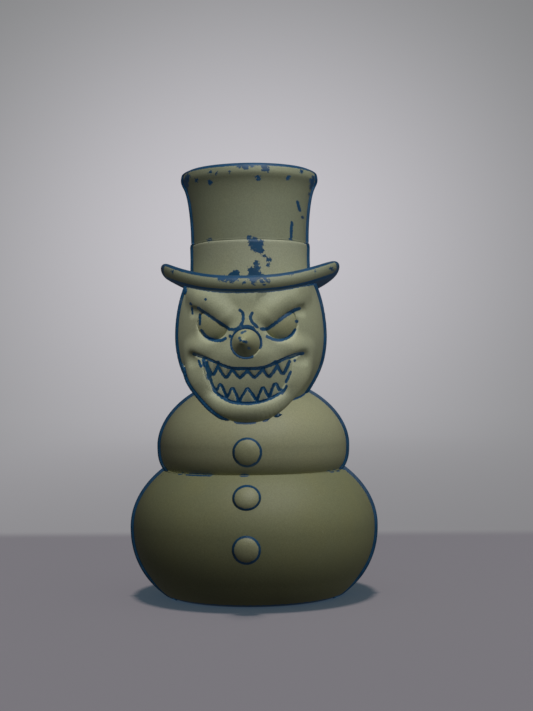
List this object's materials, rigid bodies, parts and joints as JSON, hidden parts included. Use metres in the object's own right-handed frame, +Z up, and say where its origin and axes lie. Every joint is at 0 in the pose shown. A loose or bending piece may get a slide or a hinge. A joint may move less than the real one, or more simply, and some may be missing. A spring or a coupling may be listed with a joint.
{
  "type": "snowman figurine",
  "caption": "Three-ball snowman standing on a flat foot, with a flared top hat, slanted brows, a cone nose pointing forward and a wide grin with jagged teeth.",
  "frame": {"origin": "centre of the flat foot, on the axis of the base ball and middle ball", "axes": "+Z up through the balls and the hat, -Y the way the face and the nose point, +X towards the snowman's own left hand side"},
  "size_m": [0.0764, 0.0826, 0.1296],
  "materials": {
    "body": "satin olive with dark blue painted crease lines",
    "hat": "satin olive with dark blue painted edge lines and splashes",
    "band": "satin olive, a shade lighter",
    "trim": "satin olive outlined in dark blue",
    "teeth": "satin pale olive outlined in dark blue"
  },
  "bodies": {
    "root": {"base_ball": "body", "middle_ball": "body", "head": "body", "hat": "hat", "hat_band": "band", "nose": "trim", "button_top": "trim", "button_middle": "trim", "button_bottom": "trim", "eye_left": "trim", "eye_right": "trim", "tooth_upper_1": "teeth", "tooth_upper_2": "teeth", "tooth_upper_3": "teeth", "tooth_upper_4": "teeth", "tooth_upper_5": "teeth", "tooth_upper_6": "teeth", "tooth_lower_1": "teeth", "tooth_lower_2": "teeth", "tooth_lower_3": "teeth", "tooth_lower_4": "teeth", "tooth_lower_5": "teeth"}
  },
  "joints": []
}
